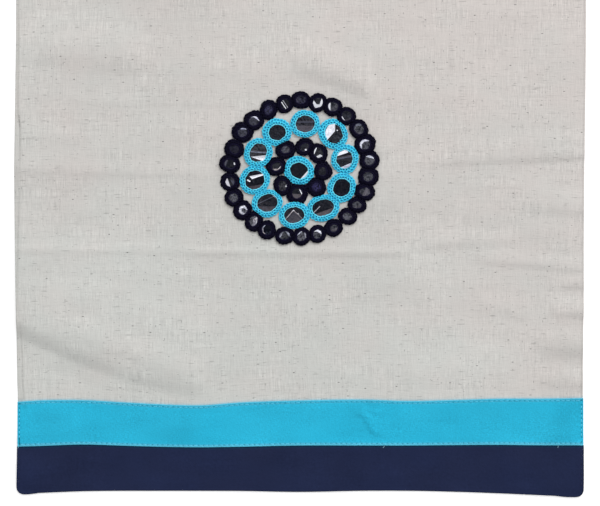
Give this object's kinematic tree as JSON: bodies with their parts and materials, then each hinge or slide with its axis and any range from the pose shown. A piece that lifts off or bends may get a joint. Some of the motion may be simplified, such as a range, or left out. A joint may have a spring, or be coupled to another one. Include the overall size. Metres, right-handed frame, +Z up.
{
  "type": "embroidered table runner",
  "caption": "Linen table runner laid flat, with a navy and a turquoise band across one end and a round mirror-work medallion above them.",
  "frame": {"origin": "on the surface, under the middle of the runner's bounding box", "axes": "+Z up out of the cloth's face, +Y along the runner away from its decorated end, +X across it"},
  "size_m": [0.3573, 1.3757, 0.0057],
  "materials": {
    "linen": "matte natural linen-look cloth with slubs, close plain weave",
    "navy_cotton": "matte navy cotton, close plain weave",
    "turquoise_cotton": "matte turquoise cotton, close plain weave",
    "turquoise_thread": "soft crochet cotton, slight sheen",
    "navy_thread": "soft crochet cotton, nearly black navy",
    "mirror": "thin silvered mirror, slightly uneven"
  },
  "bodies": {
    "root": {"linen_panel": "linen", "navy_band": "navy_cotton", "turquoise_band": "turquoise_cotton", "outer_navy_ring_01": "navy_thread", "outer_navy_ring_02": "navy_thread", "outer_navy_ring_03": "navy_thread", "outer_navy_ring_04": "navy_thread", "outer_navy_ring_05": "navy_thread", "outer_navy_ring_06": "navy_thread", "outer_navy_ring_07": "navy_thread", "outer_navy_ring_08": "navy_thread", "outer_navy_ring_09": "navy_thread", "outer_navy_ring_10": "navy_thread", "outer_navy_ring_11": "navy_thread", "outer_navy_ring_12": "navy_thread", "outer_navy_ring_13": "navy_thread", "outer_navy_ring_14": "navy_thread", "outer_navy_ring_15": "navy_thread", "outer_navy_ring_16": "navy_thread", "outer_navy_ring_17": "navy_thread", "outer_navy_ring_18": "navy_thread", "outer_navy_ring_19": "navy_thread", "outer_navy_ring_20": "navy_thread", "outer_navy_ring_21": "navy_thread", "outer_navy_ring_22": "navy_thread", "outer_navy_ring_23": "navy_thread", "outer_navy_ring_24": "navy_thread", "outer_navy_ring_25": "navy_thread", "outer_navy_ring_26": "navy_thread", "middle_turquoise_ring_01": "turquoise_thread", "middle_turquoise_mirror_01": "mirror", "middle_turquoise_ring_02": "turquoise_thread", "middle_turquoise_mirror_02": "mirror", "middle_turquoise_ring_03": "turquoise_thread", "middle_turquoise_mirror_03": "mirror", "middle_turquoise_ring_04": "turquoise_thread", "middle_turquoise_mirror_04": "mirror", "middle_turquoise_ring_05": "turquoise_thread", "middle_turquoise_mirror_05": "mirror", "middle_turquoise_ring_06": "turquoise_thread", "middle_turquoise_mirror_06": "mirror", "middle_turquoise_ring_07": "turquoise_thread", "middle_turquoise_mirror_07": "mirror", "middle_turquoise_ring_08": "turquoise_thread", "middle_turquoise_mirror_08": "mirror", "middle_turquoise_ring_09": "turquoise_thread", "middle_turquoise_mirror_09": "mirror", "middle_turquoise_ring_10": "turquoise_thread", "middle_turquoise_mirror_10": "mirror", "inner_navy_ring_01": "navy_thread", "inner_navy_ring_02": "navy_thread", "inner_navy_ring_03": "navy_thread", "inner_navy_ring_04": "navy_thread", "inner_navy_ring_05": "navy_thread", "inner_navy_ring_06": "navy_thread", "inner_navy_ring_07": "navy_thread", "inner_navy_ring_08": "navy_thread", "centre_turquoise_ring_01": "turquoise_thread", "centre_turquoise_mirror_01": "mirror"}
  },
  "joints": []
}
